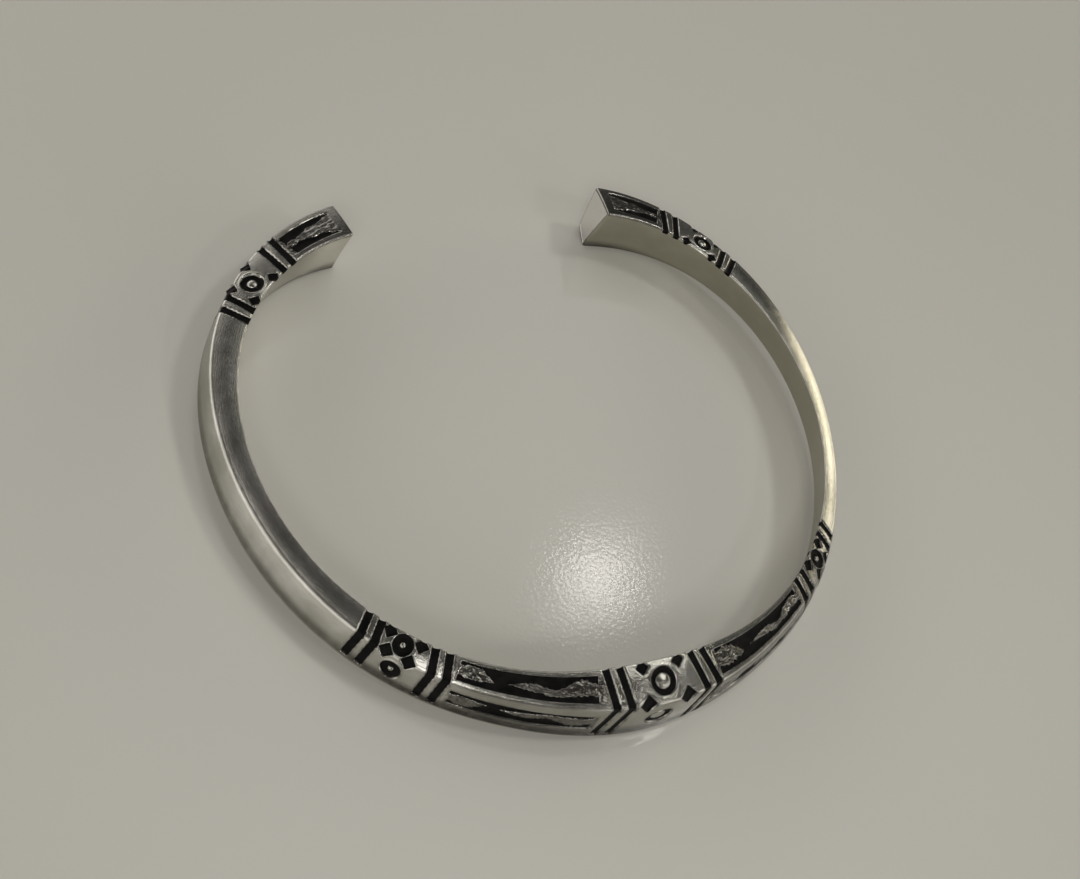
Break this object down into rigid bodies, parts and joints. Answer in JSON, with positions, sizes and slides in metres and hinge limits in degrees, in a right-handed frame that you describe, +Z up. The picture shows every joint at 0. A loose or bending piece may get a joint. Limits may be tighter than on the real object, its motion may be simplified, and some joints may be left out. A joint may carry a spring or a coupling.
{
  "type": "cuff bangle",
  "caption": "Open C-shaped metal cuff bangle with a ridged band, engraved ring, chevron and vine motifs filled with black enamel, and flared plain-cut ends.",
  "frame": {"origin": "centre of the bangle's outline in plan, on the surface that it lies on", "axes": "+Z up out of the surface, +Y from the engraved front centre towards the gap between the ends, +X across the wrist"},
  "size_m": [0.0624, 0.0546, 0.0072],
  "materials": {
    "silver_metal": "worn silver plate, polished with fine brushed grain",
    "black_enamel": "black antiquing enamel settled in the recesses"
  },
  "bodies": {
    "root": {"cuff_band": "silver_metal", "chevron_enamel_front_left": "black_enamel", "chevron_enamel_front_right": "black_enamel", "chevron_enamel_rear_left_back": "black_enamel", "chevron_enamel_rear_left_front": "black_enamel", "chevron_enamel_rear_right_back": "black_enamel", "chevron_enamel_rear_right_front": "black_enamel", "chevron_enamel_shoulder_left_back": "black_enamel", "chevron_enamel_shoulder_left_front": "black_enamel", "chevron_enamel_shoulder_right_back": "black_enamel", "chevron_enamel_shoulder_right_front": "black_enamel", "end_panel_enamel_left_lower": "black_enamel", "end_panel_enamel_left_upper": "black_enamel", "end_panel_enamel_right_lower": "black_enamel", "end_panel_enamel_right_upper": "black_enamel", "ring_enamel_front": "black_enamel", "ring_enamel_rear_left": "black_enamel", "ring_enamel_rear_right": "black_enamel", "ring_enamel_shoulder_left": "black_enamel", "ring_enamel_shoulder_right": "black_enamel", "vine_panel_enamel_left_lower": "black_enamel", "vine_panel_enamel_left_upper": "black_enamel", "vine_panel_enamel_right_lower": "black_enamel", "vine_panel_enamel_right_upper": "black_enamel"}
  },
  "joints": []
}
